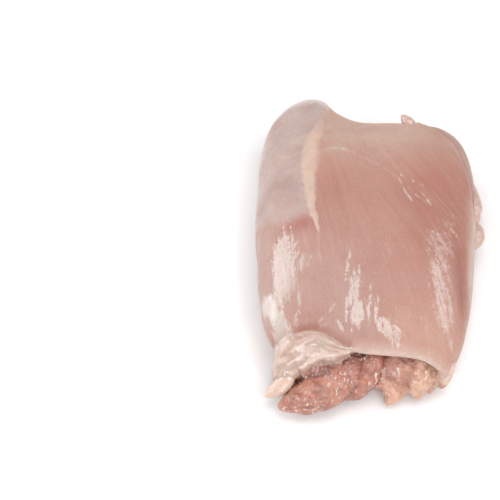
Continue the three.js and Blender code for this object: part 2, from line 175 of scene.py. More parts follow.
# Folds under the lip: points (X, Y, Z, half width, half height), then the fold's own colour
FRONT_FOLDS = [
    ([(-31, -61.4, 4, 4.3, 4), (-26, -60.2, 5.4, 5.6, 5.2), (-19.5, -57.6, 6.2, 6.6, 6),
      (-12, -53, 6.8, 6.8, 6.4), (-6, -46, 7.5, 7, 7), (-2, -34, 8, 8, 7)], (204, 134, 109)),
    ([(-25.5, -50, 6.6, 4, 4.6), (-22, -51.6, 8, 4.2, 4.4), (-17.2, -52.8, 9.2, 4.2, 3.6),
      (-12.8, -49.5, 9.2, 4, 3.4), (-9, -40, 9, 4, 3)], (176, 112, 98)),
    ([(-29, -44, 8, 4.5, 5), (-28.5, -51, 5.8, 4.6, 4.8), (-28, -56, 3.8, 3.6, 3.6)], (150, 84, 72)),
    ([(-26.5, -61, 5, 2.6, 2.6), (-22, -60.4, 6, 3.4, 3), (-17, -59, 5.4, 2.8, 2.6)], (184, 108, 86)),
    ([(1, -34, 12, 3.8, 4), (-1.6, -47.5, 11.6, 4.1, 4.4), (-3, -51.2, 9.4, 4, 4.8),
      (-5.6, -54.3, 6.6, 3.9, 4.6), (-10.6, -56.9, 4.4, 3.4, 3.8), (-16.5, -59.8, 3.2, 2.8, 2.8)],
     (204, 126, 98)),
    ([(6, -34, 10.5, 6, 4), (6.4, -48.5, 10.2, 6.4, 4.2), (6.2, -52, 8.6, 6.2, 4.2),
      (6.6, -55, 6.6, 4.6, 3)], (204, 142, 121)),
    ([(4.6, -34, 5, 7, 4.8), (4, -51.5, 4.8, 7, 4.6), (4.2, -55.6, 3.8, 5.8, 3.8),
      (2.2, -59.6, 1.6, 1.4, 1.6)], (250, 195, 166)),
    ([(12.4, -34, 7.5, 5.4, 6), (12.2, -49.8, 7.6, 5.4, 6), (12.2, -54.4, 5.6, 5.2, 5.4),
      (11.6, -58, 2.8, 3.6, 2.8)], (244, 197, 165)),
    ([(16.6, -34, 6, 2.6, 5.4), (16.4, -51.6, 5.6, 2.8, 5.2), (15.8, -56.4, 3.2, 2.4, 3.1)], (228, 160, 128)),
    ([(20.4, -34, 6.4, 3.4, 5.8), (20.5, -51, 6.4, 3.2, 6), (19.4, -55, 3.8, 2.8, 3.8)],
     (246, 210, 186)),
]
BACK_FOLDS = [
    ([(-28, 33, 5, 7, 4.6), (-18, 38, 5.6, 8, 5.6), (-4, 35.5, 5, 8.5, 5), (12, 34.5, 5.4, 8, 5.2),
      (26, 29.5, 4.8, 7, 4.6)], (200, 138, 117)),
    ([(-28, 33, 12, 5, 4.4), (-22, 40.5, 12.5, 8, 5), (-13, 39, 12, 8, 5), (-2, 33, 11, 7, 4.4)],
     (214, 156, 135)),
    ([(-10, 32, 14, 6, 4.6), (2, 32, 15.6, 7, 5.2), (12, 32, 16, 7, 5.2), (20, 29.5, 14, 7, 4.8)],
     (206, 146, 124)),
    ([(12, 35, 10.5, 6, 4), (21, 33, 11, 6.5, 4.8), (28, 27.5, 10, 5.5, 4.4)], (218, 164, 142)),
]
FOLD_BLUNTNESS = 2.4
FOLD_BUMPS = [(0.8, 5.5, 1.5), (0.3, 2.6, 6.1), (0.08, 1.2, 3.3)]
CREASE_SIZE = (9, 9, 5)
CREASE_DEPTH = 0.25

# Loose fat on the flap, and nubs of meat on the outline, in the same form
FINGER = [
    (-35.4, -58.6, 5.6, 1.9, 1.6), (-33.3, -57.7, 6.5, 2.4, 2), (-30.6, -56.4, 7.9, 2.7, 2.1),
    (-28.6, -54.6, 9.4, 2.6, 2), (-28.4, -50.5, 11.4, 2.4, 1.9),
]
STRIP = [(-32.2, -46, 9.5, 1, 2), (-31.7, -50.5, 7.6, 1.5, 2.5), (-29.6, -54.6, 5, 1.5, 2)]
TAG = [(-26.8, -53, 9.9, 0.5, 1.3), (-25, -53, 9.3, 0.5, 1.9), (-23.2, -52.2, 10, 0.5, 1.4)]
NUBS = [
    [(32.6, 1.5, 8.6, 2.4, 1.4), (33.4, 7.5, 9.4, 3, 2), (33.6, 12.5, 10, 3.5, 2.2),
     (33.4, 17, 10.2, 3, 2), (32.6, 24, 10.6, 2.6, 1.2)],
    [(32.6, -5.5, 9, 2, 1.2), (33.6, -0.4, 9.6, 3.3, 2.2), (33.6, 2.5, 10, 3.1, 1.8),
     (33, 6.5, 10, 2.2, 1.1)],
    [(10.9, 42.1, 21.4, 1, 1.1), (12.4, 40.3, 21.2, 1.8, 1.7), (15, 36, 19.5, 2.4, 2.2)],
]
LOBE_BUMPS = [(1, 2.4, 0), (0.5, 1.1, 5)]
FAT_BUMPINESS = 0.15
NUB_BUMPINESS = 0.25

# How finely the surfaces are cut into faces
COLUMNS = 400
BELLY_SHARE = 0.35  # columns under the waist per column of the same width above it
ROWS = 150
ROW_GROWTH = 1.15
FLAP_ROWS = 34
NORMAL_SOFTENING = 3
ANGLE_STEPS = 4001
SEAM_POINTS = 40
SINEW_POINTS = 4  # points of its curve per drawn point
FOLD_RINGS = 60
FOLD_SIDES = 48
FOLD_VOXEL = 0.42
FOLD_SMOOTHING = 3
FOLD_MEASURES = 24
NUB_RINGS = 44
NUB_SIDES = 36
LOBE_TIP = 0.05  # radians left off at each end of a lobe

# ---- colours, as a picture shows them ----
LIGHT_LEVEL = 1.3  # how brightly the studio lights a level white surface
MEAT = (199, 150, 136)
MEAT_DEEP = (188, 128, 113)
# Painted shade: the dark of the band down the right side, of the shadow under the overlapping layer and of
# the crease above the flap
MEAT_SHADE = (172, 116, 101)
MEAT_BACK = (214, 182, 165)
MEAT_BEHIND = (196, 152, 138)
MEAT_MAUVE = (201, 165, 156)
MEAT_PEACH = (211, 165, 147)
MEAT_PINK = (205, 170, 160)
WALL_MEAT = (186, 130, 115)
RED_SPOT = (188, 128, 118)
SILVER_BACK = (206, 184, 176)
SILVER_MAUVE = (192, 167, 161)
SILVER_FRONT = (204, 179, 172)
FOLD_ORANGE = (206, 138, 112)
FOLD_MAUVE = (184, 132, 122)
FOLD_DARK = (152, 90, 76)
# Painted shade: the tint that darkens the folds where they meet, along the creases and under the lip
CREVICE_SHADE = np.array([0.55, 0.36, 0.34])
SEAM_FAT = (229, 200, 181)
FLAP_FAT = (212, 180, 163)
FLAP_PINK = (206, 158, 141)
NUB_PALE = (226, 190, 175)
NUB_PINK = (210, 164, 148)
FINGER_FAT = (242, 212, 194)
FINGER_DEEP = (226, 186, 164)
LIP_PALE = (224, 194, 178)
# Painted highlight: the white of the glare on the wet shoulder and of the bright lines along the rims
HIGHLIGHT_WHITE = (234, 220, 212)
EDGE_PALE = (226, 202, 188)
INNER_STAIN = (206, 115, 78)
INNER_PALE = (214, 148, 116)
FASCIA = (226, 200, 186)
# Painted highlights: the cream that the wet patches' colour turns towards, and the white of painted glints
# and shine
HIGHLIGHT_CREAM = (220, 208, 195)
GLINT = (250, 232, 220)
FLOOR_GREYS = (0.92, 0.94)

# Tints laid over one another, as (colour, strength, place); share_in says how a place is described
TOP = [(6, 12)]
MEAT_TINTS = [
    (MEAT_DEEP, 0.95, dict(x=[(3, 17)], y=[(-28, -12), (37, 22)])),
    (MEAT_DEEP, 0.45, dict(spot=(-13, 8, 6, 10))),
    (MEAT_BACK, 0.95, dict(x=[(22, 8, 0.684)], y=[(10, 32)])),
    (MEAT_PEACH, 1, dict(x=[(-4, 8)], y=[(-26, -42)], z=TOP)),
    (MEAT_MAUVE, 1, dict(spot=(-9, -36, 9, 17), z=TOP)),
    (MEAT_PINK, 1, dict(spot=(-26, -24, 11, 16), z=TOP)),
    (MEAT_PINK, 0.4, dict(x=[(-30, -36)])),
    (MEAT, 0.5, dict(x=[(-30, -36)], y=[(0, -14)])),
    # painted shade: a dark band down the right side, between two highlights
    (MEAT_SHADE, 1, dict(spot=(26.3, -26, 2, 20, 4), z=[(12, 18)])),
    (FASCIA, 0.28, dict(x=[(24, 12)], y=[(20, 36)], z=TOP, speckle=((12.6, 7, 7), 5.4, -0.1, 0.35))),
]
SILVER_TINTS = [
    (SILVER_FRONT, 1, {}),
    (SILVER_BACK, 1, dict(y=[(8, 36)])),
    (SILVER_MAUVE, 0.8, dict(speckle=(11, 6.6, -0.1, 0.45))),
    (FASCIA, 0.3, dict(speckle=((9, 4.5, 4.5), 2.9, 0.05, 0.5))),
]
FLAP_TINTS = [(FLAP_FAT, 1, {}), (FLAP_PINK, 0.5, dict(speckle=(3.6, 5.2, 0.05, 0.5)))]
FOLD_STAINS = [
    (FOLD_ORANGE, 0.8, dict(speckle=(4.2, 4.9, -0.05, 0.4))),
    (FOLD_MAUVE, 0.15, dict(speckle=(5, 7.7, 0.1, 0.5))),
    (FOLD_DARK, 0.3, dict(speckle=(4.4, 3.6, 0, 0.4))),
]
FOLD_MELT = 0.7  # width over which one fold's colour turns into the next one's
CREVICE_SHADE_WIDTH = 0.7

# Where the light glances off, as (X, Y, half width, half length, turn in degrees, wetness)
WET_PATCHES = [
    (-29.4, -14, 2.8, 5, 0, 1.1), (-29.3, -22.5, 3.3, 10.5, 0, 1.25), (-26.2, -14.5, 0.6, 2.2, -32, 1),
    (-25.9, -18.5, 0.6, 2.2, -32, 1), (-26.1, -23, 0.6, 2.2, -28, 1), (-26.3, -27.5, 0.6, 2.2, -28, 0.95),
    (-23.4, -20, 0.9, 3.4, -16, 0.9), (-22.2, -22, 0.6, 2.6, -20, 0.75), (-24.6, -33, 0.7, 3.4, -4, 0.8),
    (-33.4, -34.5, 2, 6, 24, 1.1), (-30.2, -41.5, 2.4, 6, 20, 1.15), (-25.6, -39, 0.8, 2, 0, 0.7),
    (-9.4, -22, 0.7, 6, -8, 0.85), (-8.4, -31, 0.9, 7, -8, 0.85), (-7, -31, 0.8, 8, -8, 0.85),
    (-7, -38.5, 1.9, 3.8, -8, 0.95), (-10.2, -37, 0.6, 4.5, -4, 0.8), (-3, -35, 0.8, 6.5, -6, 0.8),
    (-0.9, -37.5, 0.7, 5.5, -8, 0.75), (1.4, -42.6, 1.9, 3.6, 30, 1), (4.2, -46, 1.5, 2.6, 40, 0.95),
    (5.8, -43.6, 0.5, 2.4, 50, 0.8), (20.3, -13, 4.2, 6.5, 0, 0.62), (20.2, -29, 2.8, 14, 3, 0.9),
    (-12.2, -42.2, 0.7, 2.2, 24, 0.85), (-14.2, -36.4, 0.5, 1.2, -40, 0.65),
    (-17.5, -41.5, 0.7, 1.4, -60, 0.75), (24.5, -3, 2.5, 3.5, 0, 0.5), (16.8, 2.8, 1.2, 1.4, 0, 0.75),
    (11.2, 4.2, 1, 1.6, 0, 0.7), (-10.5, 23.9, 4, 0.4, -4, 0.8), (22, -46, 0.8, 1.8, 0, 0.75),
]

# Fibres: how far they lean to the left per millimetre of length, as (Y, lean), and their fineness
FIBRE_LEAN = [(-60, 0.12), (-40, 0.12), (5, 0.74), (60, 0.74)]
FIBRE_ALONG = 0.06
FIBRE_DEPTH = 0.2
FIBRE_SPACING = 0.8
FIBRE_BEND = 14.0

FINE = dict(detail=3, roughness=0.6)  # noise with small features too
FLESH = dict(
    Roughness=0.42,
    IOR=1.4,
    Subsurface_Weight=0.3,
    Subsurface_Radius=(1.0, 0.4, 0.25),
    Subsurface_Scale=2 * MM,
    Coat_IOR=2.0,
    Coat_Roughness=0.1,
)

# ---- the studio's sizes ----
VIEW_HEIGHT = 54.0  # degrees that the camera looks down by
VIEW_DISTANCE = 555.0
VIEW_TARGET = np.array([-40.0, 1.5, 0.0])
LENS = 120
SENSOR_WIDTH = 36
NEAREST = 10.0
LIGHTS = [  # (compass degrees from +Y towards +X, degrees up, width and height in degrees, brightness)
    (-72, 26, 54, 48, 2.05),
    (84, 44, 50, 32, 1.7),
    (70, 81, 34, 40, 2.2),
    (-175, 30, 56, 26, 1.3),
    (-168, 38, 14, 14, 9),
    (150, 48, 14, 14, 8),
]
LIGHT_DISTANCE = 900.0
SKY = 0.4
FLOOR_HALF = 1200.0


# ---- curves and soft shapes ----
TINY = 1e-9
GOLDEN_ANGLE = math.pi * (3 - math.sqrt(5))
WAVES_SUMMED = 7


def smooth_steps(u, span, before, after, slope_before, slope_after):
    """Values at shares u of a span between two values with the given slopes."""
    keep = (1 + 2 * u) * (1 - u) ** 2
    lean = span * u * (1 - u) * (slope_before * (1 - u) - slope_after * u)
    return before * keep + after * (1 - keep) + lean


def through(pairs):
    """A smooth curve through (place, value) pairs that doesn't overshoot them."""
    place, value = np.array(pairs, float).T
    step = np.diff(value) / np.diff(place)
    before, after = np.r_[step[0], step], np.r_[step, step[-1]]
    same = before * after > 0
    slope = np.where(same, 2 * before * after / np.where(same, before + after, 1), 0)

    def at(x):
        x = np.clip(x, place[0], place[-1])
        i = np.clip(np.searchsorted(place, x) - 1, 0, len(place) - 2)
        span = place[i + 1] - place[i]
        return smooth_steps((x - place[i]) / span, span, value[i], value[i + 1], slope[i], slope[i + 1])

    return at


def curve_through(points, share):
    """Points of any number of values on a smooth curve, at shares of its length."""
    points = np.asarray(points, float)
    run = np.r_[0, np.cumsum(np.linalg.norm(np.diff(points[:, :3], axis=0), axis=1))]
    run /= run[-1]
    share = np.clip(share, 0, 1)
    slope = np.gradient(points, run, axis=0)
    i = np.clip(np.searchsorted(run, share) - 1, 0, len(run) - 2)
    span = (run[i + 1] - run[i])[:, None]
    u = (share - run[i])[:, None] / span
    return smooth_steps(u, span, points[i], points[i + 1], slope[i], slope[i + 1])


left_at = through(LEFT_EDGE)
right_at = through(RIGHT_EDGE)
crown_at = through(CROWN)
front_at = through(FRONT_EDGE)
back_at = through(BACK_EDGE)
lean_at = through(FIBRE_LEAN)


def ramp(x, low, high):
    """0 below low, 1 above high and smooth between; high may be the lower of the two."""
    u = np.clip((x - low) / (high - low), 0, 1)
    return u * u * (3 - 2 * u)


def bell(x, width):
    """1 at 0, falling softly to either side."""
    return np.exp(-((x / width) ** 2))


def patch(p, cx, cy, across, along, turn=0.0):
    """A soft round patch, 1 at its centre."""
    c, s = math.cos(math.radians(turn)), math.sin(math.radians(turn))
    x, y = p[..., 0] - cx, p[..., 1] - cy
    u = (x * c + y * s) / across
    v = (y * c - x * s) / along
    return np.exp(-u * u - v * v)


def waves(p, wavelength, start):
    """Soft unevenness from about -1 to 1: waves of one length in directions a golden angle apart."""
    total = 0
    for k in range(WAVES_SUMMED):
        up = 1 - (2 * k + 1) / WAVES_SUMMED
        flat = math.sqrt(1 - up * up)
        angle = GOLDEN_ANGLE * k + start
        along = p @ np.array([flat * math.cos(angle), flat * math.sin(angle), up])
        total = total + np.sin(along * 2 * math.pi / wavelength + k * k + start)
    return total / math.sqrt(WAVES_SUMMED)


def grain(p, size, start=0.0):
    """Irregular unevenness from about -1 to 1, with features of one size. size may differ by axis."""
    flat = (p / size + start).reshape(-1, 3)
    values = np.fromiter((noise.noise(Vector(q)) for q in flat), float, len(flat))
    return values.reshape(p.shape[:-1])


def rough(p, layers, shift=0.0):
    """Irregular unevenness summed over layers of (height, size, start)."""
    return sum(height * grain(p, size, start + shift) for height, size, start in layers)


def near_line(p, line):
    """Distance to a drawn line, the side of it, the share of the line there and the line's third value."""
    x, y = p[..., 0], p[..., 1]
    line = np.asarray([(*q, 0)[:3] for q in line], float)
    far = np.full(x.shape, np.inf)
    side, share, value = np.zeros_like(far), np.zeros_like(far), np.zeros_like(far)
    for k, (a, b) in enumerate(zip(line[:-1], line[1:])):
        d = b[:2] - a[:2]
        t = np.clip(((x - a[0]) * d[0] + (y - a[1]) * d[1]) / (d @ d), 0, 1)
        off_x, off_y = x - a[0] - t * d[0], y - a[1] - t * d[1]
        here = np.hypot(off_x, off_y)
        near = here < far
        far = np.where(near, here, far)
        side = np.where(near, np.sign(d[0] * (y - a[1]) - d[1] * (x - a[0])), side)
        share = np.where(near, (k + t) / (len(line) - 1), share)
        value = np.where(near, a[2] + t * (b[2] - a[2]), value)
    return far, side, share, value


def side_beyond(p):
    """Distance past the overlapping layer's edge, negative on the layer itself."""
    far, side, _, _ = near_line(p, OVERLAP)
    return side * far


seam_line = curve_through(SEAM, np.linspace(0, 1, SEAM_POINTS))


def sinew_share(p):
    """How much of the pale sinew there is at a place, from 0 to 1."""
    share = np.zeros(p.shape[:-1])
    for points, half_width, paleness in SINEWS:
        steps = np.linspace(0, 1, SINEW_POINTS * len(points))
        line = curve_through([(*q, 0) for q in points], steps)
        far, _, along, _ = near_line(p, line)
        ends = ramp(along, 0, 0.2) * ramp(along, 1, 0.8)
        share = np.maximum(share, paleness * (0.4 + 0.6 * ends) * bell(far, half_width))
    return share * (0.75 + 0.5 * grain(p * (1, 1, 0), 2.2, 8.1))


# ---- colours by place ----
def colour(rgb):
    """A picture's 0-255 colour as the share of light that the surface itself gives back."""
    c = np.array(rgb, float) / 255
    return np.where(c <= 0.04045, c / 12.92, ((c + 0.055) / 1.055) ** 2.4) / LIGHT_LEVEL


def blend(base, rgb, share):
    """base turned towards a picture's colour by a share for each point."""
    return base + (colour(rgb) - base) * np.asarray(share)[..., None]


def share_in(p, x=(), y=(), z=(), spot=None, speckle=None):
    """How far points are inside a place, from 0 to 1.

    x, y and z list (outside, inside, least): a fade along that axis, down to least if that is given.
    spot is a soft round patch, and speckle is (size, start, outside, inside) of irregular grain.
    """
    share = np.ones(p.shape[:-1])
    for along, fades in zip(np.moveaxis(p, -1, 0), (x, y, z)):
        for outside, inside, *rest in fades:
            least = rest[0] if rest else 0
            share = share * (least + (1 - least) * ramp(along, outside, inside))
    if spot:
        share = share * patch(p, *spot)
    if speckle:
        size, start, outside, inside = speckle
        share = share * ramp(grain(p, size, start), outside, inside)
    return share


def tinted(tone, p, tints, cover=1.0):
    """tone painted over with tints, each (colour, strength, place), no stronger than the cover lets them."""
    for rgb, strength, place in tints:
        tone = blend(tone, rgb, cover * strength * share_in(p, **place))
    return tone


# ---- the shape of the smooth side ----
def section_point(degrees, y):
    """The smooth side's surface at an angle round the section at y: 0 right, 90 top, 180 left."""
    degrees, y = np.broadcast_arrays(degrees, y)
    c, s = np.cos(np.radians(degrees)), np.sin(np.radians(degrees))
    power = 2 / np.where(s > 0, ROUND_TOP, ROUND_BELLY)
    across = np.sign(c) * np.abs(c) ** power
    rise = np.abs(s) ** power
    left, right = left_at(y), right_at(y)
    z = np.where(s > 0, WAIST + (crown_at(y) - WAIST) * rise, WAIST - (WAIST + SAG) * rise)
    return np.stack([(left + right) / 2 + (right - left) / 2 * across, y, z], -1)


def spaced_angles(count):
    """Angles at even steps round the middle section, with longer steps under the waist."""
    fine = np.linspace(-90, 270, ANGLE_STEPS)
    points = section_point(fine, 0.0)
    step = np.linalg.norm(np.diff(points, axis=0), axis=1)
    step *= np.where(points[1:, 2] > WAIST / 2, 1, BELLY_SHARE)
    run = np.r_[0, np.cumsum(step)]
    return np.interp(np.arange(count) / count * run[-1], run, fine)


def relief(p):
    """How far the smooth side stands out at a point, along its normal."""
    upper = ramp(p[..., 2], *UPPER_SIDE)
    out = sum(height * waves(p, wavelength, start) for wavelength, height, start in UNEVEN)
    for *spot, height in SWELLS:
        out = out + upper * height * patch(p, *spot)
    _, _, share, _ = near_line(p, OVERLAP)
    beyond = ramp(side_beyond(p), -OVERLAP_SLOPE, OVERLAP_SLOPE)
    out = out - upper * OVERLAP_STEP * (1 - share / 2) * beyond * ramp(p[..., 1], *OVERLAP_ENDS)
    far, _, _, half_width = near_line(p, seam_line)
    out = out + upper * SEAM_HEIGHT * ramp(far / half_width, *SEAM_SLOPE)
    return out + upper * SINEW_HEIGHT * sinew_share(p)


def flap_unevenness(rows, down, length):
    """How far the flap's crest, folds and lumps stand out of its plain roll, by share of the way down."""
    crest = sum(height * ramp(down, low, high) for height, low, high in FLAP_CREST)
    turns = FLAP_FOLDS * down + 0.9 * grain(rows, 9, 4.2)
    folded = FLAP_FOLD_HEIGHT * np.sin(2 * np.pi * turns) * ramp(down, 0.12, 0.3)
    held = np.sqrt(np.sin(np.pi * np.clip(down, 0, 0.9)))
    lumps = rough(rows, FLAP_LUMPS)
    return crest * ramp(length, 2, 8) + (folded + lumps) * held


def flap_rows(crease, lip, share, fade):
    """Rows of the flap from its hanging edge up to the crease, with its roll, its lumps and its torn edge."""
    low = lip + (curve_through(FLAP_EDGE, share) - lip) * fade[:, None]
    length = np.linalg.norm(low - crease, axis=1)
    down_way = (low - crease) / (length[:, None] + TINY)
    spot = np.stack([share * FLAP_WIDTH, 0 * share, 0 * share], -1)
    torn = fade * rough(spot, FLAP_TEARS)
    down = np.linspace(1, 0, FLAP_ROWS, endpoint=False)[:, None]
    rows = crease + (low - crease) * down[..., None] + down_way * (torn * down ** 3)[..., None]
    belly = FLAP_BELLY * (1 + 0.5 * ramp(share, 0.5, 0.1))
    bulge = np.sin(np.pi * down) * np.minimum(length, FLAP_LONGEST) * belly * fade
    rows = rows + FLAP_OUT * bulge[..., None]
    return rows + FLAP_OUT * (fade * flap_unevenness(rows, down, length))[..., None]


def ring_normals(rings):
    """Outward normals of rings that run the way the section's angle grows, softened along the rows."""
    along = np.gradient(rings, axis=0)
    around = np.roll(rings, -1, 1) - np.roll(rings, 1, 1)
    n = np.cross(along, around)
    for _ in range(NORMAL_SOFTENING):
        n[1:-1] = (n[:-2] + 2 * n[1:-1] + n[2:]) / 4
    return n / (np.linalg.norm(n, axis=-1, keepdims=True) + TINY)


def rim_rings(rows, normals):
    """Rings round the rounded rim of an open end, from its outer side to its inner side."""
    outward = rows[0] - rows[2]
    outward /= np.linalg.norm(outward, axis=1, keepdims=True) + TINY
    made = []
    for turn in np.linspace(0, math.pi, RIM_STEPS + 1)[1:]:
        ahead, inwards = RIM_RADIUS * math.sin(turn), RIM_RADIUS * (1 - math.cos(turn))
        made.append(rows[0] + outward * ahead - normals[0] * inwards)
    return made


def wall_ring(rows, normals, run, place, thickness):
    """One ring of the sheet's inner face, at a place along each column and a thickness under it."""
    ring = np.empty_like(rows[0])
    for j in range(rows.shape[1]):
        point = [np.interp(place[j], run[:, j], rows[:, j, k]) for k in range(3)]
        normal = np.array([np.interp(place[j], run[:, j], normals[:, j, k]) for k in range(3)])
        ring[j] = point - normal / np.linalg.norm(normal) * thickness
    return ring


def end_rings(rows, normals, hanging_rows):
    """Rings round the rim and along the wall inside an open end; rows run inwards from that edge."""
    run = np.concatenate([np.zeros((1, rows.shape[1])), np.linalg.norm(np.diff(rows, axis=0), axis=2)])
    run = np.cumsum(run, axis=0)
    made = rim_rings(rows, normals)
    for depth, thickness in WALL:
        place = depth + run[hanging_rows] * min(depth / WALL_TURN, 1)
        made.append(wall_ring(rows, normals, run, place, thickness))
    centre = made[-1].mean(0)
    for share in WALL_CLOSING:
        made.append(made[-1] + (centre - made[-1]) * share)
    return made


def smooth_side():
    """Rings of the smooth side with its flap, and the number of rings before its outer surface."""
    degrees = spaced_angles(COLUMNS)
    turn = degrees % 360
    share = (turn - FLAP_START) / (FLAP_END - FLAP_START)
    fade = ramp(share, 0, 0.05) * ramp(1 - share, 0, 0.07)
    edge = front_at(turn)
    start = edge + LIP * (1 - fade)
    along = np.linspace(0, 1, ROWS)[:, None] ** ROW_GROWTH
    body = section_point(degrees, start + (back_at(turn) - start) * along)
    flap = flap_rows(body[0], section_point(degrees, edge), share, fade)
    sheet = np.concatenate([flap, body])
    normals = ring_normals(sheet)
    lift = relief(sheet)
    lift[:FLAP_ROWS] = lift[FLAP_ROWS]
    outer = sheet + normals * lift[..., None]
    front = end_rings(outer, normals, FLAP_ROWS)
    back = end_rings(outer[::-1], normals[::-1], 0)
    return np.array([*front[::-1], *outer, *back]), len(front)


# ---- the shape of folds, finger and nubs ----
def lobe(points, rings, sides, bumpiness=0.0, start=0.0):
    """Rings of a rounded body along points (x, y, z, half width, half height)."""
    share = (1 - np.cos(np.linspace(LOBE_TIP, np.pi - LOBE_TIP, rings))) / 2
    line = curve_through(points, share)
    along = np.gradient(line[:, :3], axis=0)
    along /= np.linalg.norm(along, axis=1, keepdims=True)
    across = np.cross(along, [0, 0, 1.0])
    across /= np.linalg.norm(across, axis=1, keepdims=True)
    over = np.cross(across, along)
    blunt = np.sqrt(1 - np.abs(2 * share - 1) ** FOLD_BLUNTNESS)
    angle = np.linspace(0, 2 * np.pi, sides, endpoint=False)
    wide = (line[:, 3] * blunt)[:, None, None] * np.cos(angle)[None, :, None]
    high = (line[:, 4] * blunt)[:, None, None] * np.sin(angle)[None, :, None]
    out = wide * across[:, None] + high * over[:, None]
    made = line[:, None, :3] + out
    if bumpiness:
        out /= np.linalg.norm(out, axis=-1, keepdims=True)
        bumps = rough(made, LOBE_BUMPS, start)
        made = made + out * (bumpiness * bumps * blunt[:, None])[..., None]
    return made


def fold_distances(p, folds):
    """Rough distance from each point to each fold's own surface."""
    found = []
    for points, _ in folds:
        line = curve_through(points, np.linspace(0, 1, FOLD_MEASURES))
        reach = (line[:, 3] + line[:, 4]) / 2
        gaps = [np.linalg.norm(p - centre, axis=1) - r for centre, r in zip(line[:, :3], reach)]
        found.append(np.min(gaps, axis=0))
    return np.array(found)


# ---- meshes ----
def shell(rings):
    """Vertices and faces of a closed shell: rings joined, each end drawn together in a point."""
    count, sides, _ = rings.shape
    verts = np.concatenate([rings.reshape(-1, 3), rings[:1].mean(1), rings[-1:].mean(1)])
    k = np.arange(sides)
    after = (k + 1) % sides
    a = (np.arange(count - 1) * sides)[:, None]
    quads = np.stack([a + k, a + sides + k, a + sides + after, a + after], -1).reshape(-1, 4)
    first, last, end = count * sides, count * sides + 1, (count - 1) * sides
    tips = [np.stack([k * 0 + first, k, after], 1), np.stack([k * 0 + last, end + after, end + k], 1)]
    return verts, quads.tolist() + np.concatenate(tips).tolist()


def joined_shells(bodies):
    """Vertices and faces of several closed shells as one mesh."""
    all_verts, all_faces, offset = [], [], 0
    for rings in bodies:
        verts, faces = shell(rings)
        all_verts.append(verts)
        all_faces += [[corner + offset for corner in face] for face in faces]
        offset += len(verts)
    return np.concatenate(all_verts), all_faces


def in_scene(name, data):
    """A new object in the scene."""
    made = bpy.data.objects.new(name, data)
    bpy.context.scene.collection.objects.link(made)
    return made


def new_piece(name, verts, faces, material):
    """A shaded mesh object from points in millimetres, with its attributes still to be set."""
    mesh = bpy.data.meshes.new(name)
    placed = verts - MIDDLE
    placed[:, 2] = np.maximum(placed[:, 2], 0)
    mesh.from_pydata((placed * MM).tolist(), [], faces)
    mesh.materials.append(material)
    mesh.update()
    mesh.shade_smooth()
    piece = in_scene(name, mesh)
    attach(piece, "root")
    return piece


def set_values(piece, **values):
    """Stores a number or a vector for each vertex under each name."""
    for name, value in values.items():
        value = np.asarray(value, np.float32)
        kind = "FLOAT" if value.ndim == 1 else "FLOAT_VECTOR"
        attribute = piece.data.attributes.new(name, kind, "POINT")
        attribute.data.foreach_set("value" if value.ndim == 1 else "vector", value.ravel())


def vectors(items, name):
    """The vectors that the items of a mesh hold under a name."""
    flat = np.empty(len(items) * 3)
    items.foreach_get(name, flat)
    return flat.reshape(-1, 3)


def melt_together(piece):
    """Replaces a piece's separate shells by one closed skin, softened where they meet."""
    remesh = piece.modifiers.new("grow_together", "REMESH")
    remesh.mode = "VOXEL"
    remesh.voxel_size = FOLD_VOXEL * MM
    soften = piece.modifiers.new("soften", "SMOOTH")
    soften.factor = 0.5
    soften.iterations = FOLD_SMOOTHING
    evaluated = piece.evaluated_get(bpy.context.evaluated_depsgraph_get())
    mesh = bpy.data.meshes.new_from_object(evaluated)
    mesh.materials.clear()
    mesh.materials.append(piece.data.materials[0])
    piece.modifiers.clear()
    piece.data = mesh
    mesh.shade_smooth()


# ---- folds of inner meat ----
def bump_folds(piece, p, creases):
    """Moves a piece's skin in and out by irregular bumps and along its creases."""
    bumps = rough(p, FOLD_BUMPS) - CREASE_DEPTH * creases
    bumps *= 1 - 0.6 * ramp(p[:, 0], 12, 18) * ramp(p[:, 1], 0, -20)
    moved = p + vectors(piece.data.vertex_normals, "vector") * bumps[:, None]
    moved[:, 2] = np.maximum(moved[:, 2], 0)
    piece.data.vertices.foreach_set("co", ((moved - MIDDLE) * MM).ravel())


def fold_tones(p, folds, creases):
    """Colour of the folds: each fold's own, melted into the next, stained, darker low down at the front left,
    and with painted shade in the crevices, along the creases and under the lip.
    """
    far = fold_distances(p, folds)
    share = np.exp(-(far - far.min(0)) / FOLD_MELT)
    share /= share.sum(0)
    tone = sum(colour(rgb) * w[:, None] for (_, rgb), w in zip(folds, share))
    x, y, z = p.T
    deep = ramp(x, 4, -4) * ramp(y, 10, -10)
    tone = tinted(tone, p, FOLD_STAINS, 0.4 + 0.6 * deep)
    tone = blend(tone, FOLD_DARK, 0.22 * deep * ramp(z, 6, 1.5))
    # painted shade: darker where two folds meet, under the lip and along the creases
    nearest = np.sort(far, axis=0)
    crevice_shade = bell(nearest[1] - nearest[0], CREVICE_SHADE_WIDTH) * (0.35 + 0.55 * deep)
    under_lip_shade = ramp(y, -52.5, -46) * ramp(y, 0, -20) * (0.3 + 0.55 * deep)
    dark = 1 - (1 - crevice_shade) * (1 - under_lip_shade) * (1 - 0.2 * creases)
    return tone * (1 - dark[:, None] * (1 - CREVICE_SHADE))


def make_folds(name, folds, material):
    """The folds of inner meat at one end, grown together, with each fold's own colour."""
    verts, faces = joined_shells(lobe(points, FOLD_RINGS, FOLD_SIDES) for points, _ in folds)
    piece = new_piece(name, verts, faces, material)
    melt_together(piece)
    p = vectors(piece.data.vertices, "co") / MM + MIDDLE
    creases = bell(grain(p, CREASE_SIZE, 8.8), 0.035)
    bump_folds(piece, p, creases)
    set_values(piece, tone=fold_tones(p, folds, creases))


def make_lobes(name, bodies, material, bumpiness):
    """Loose rounded bodies with a bumpy skin, as one piece."""
    rings = (lobe(points, NUB_RINGS, NUB_SIDES, bumpiness, 2.0 * k) for k, points in enumerate(bodies))
    new_piece(name, *joined_shells(rings), material)


